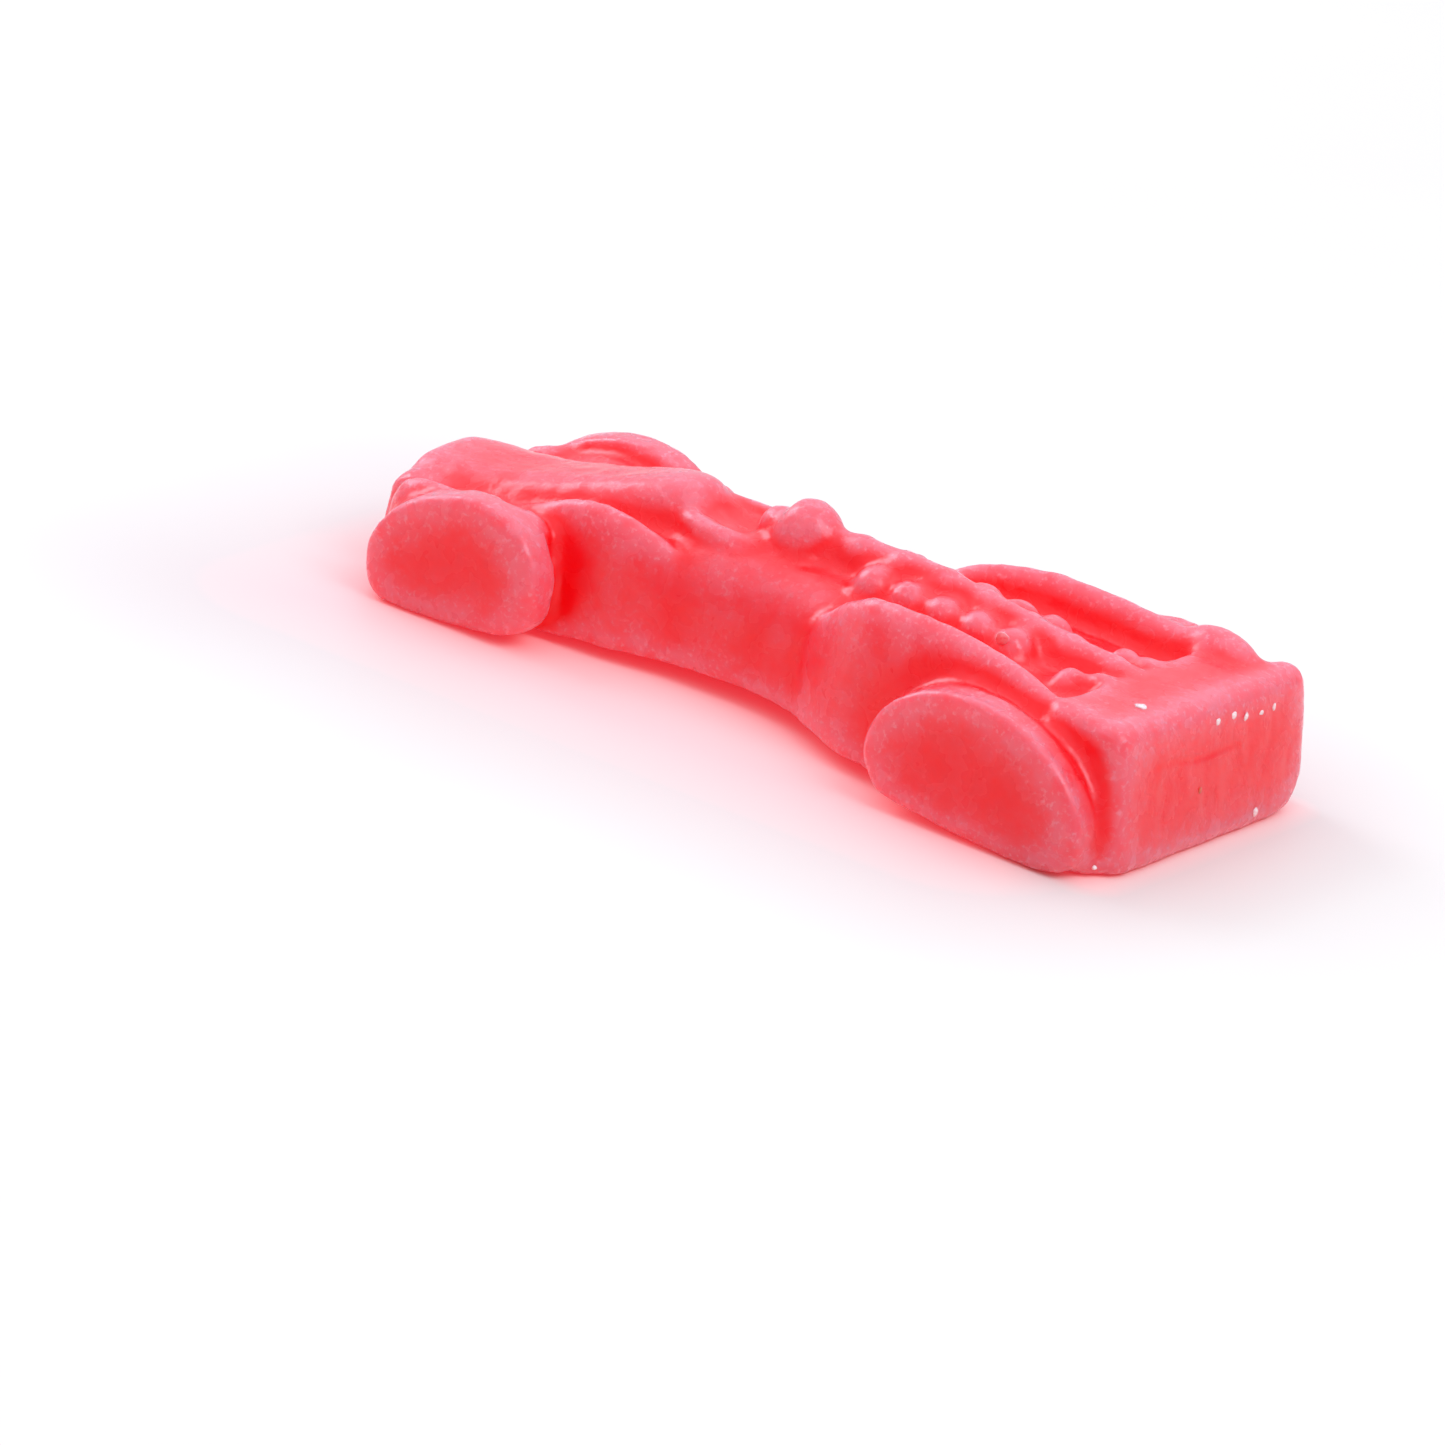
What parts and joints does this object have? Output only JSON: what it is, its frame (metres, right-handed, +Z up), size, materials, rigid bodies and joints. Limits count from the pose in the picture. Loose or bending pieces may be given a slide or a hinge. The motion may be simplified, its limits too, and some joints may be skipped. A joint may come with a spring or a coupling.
{
  "type": "gummy race car",
  "caption": "Red gummy sweet moulded in one piece as a low open-wheel race car, bowed lengthwise so that it rests on its nose and tail.",
  "frame": {"origin": "middle of the sweet's outline, at the level of the surface it rests on", "axes": "+X from the nose to the tail, +Y to the car's right, +Z up from the flat moulded back"},
  "size_m": [0.0542, 0.0236, 0.0113],
  "materials": {
    "red_gummy": "satin"
  },
  "bodies": {
    "root": {"gummy_car": "red_gummy"}
  },
  "joints": []
}
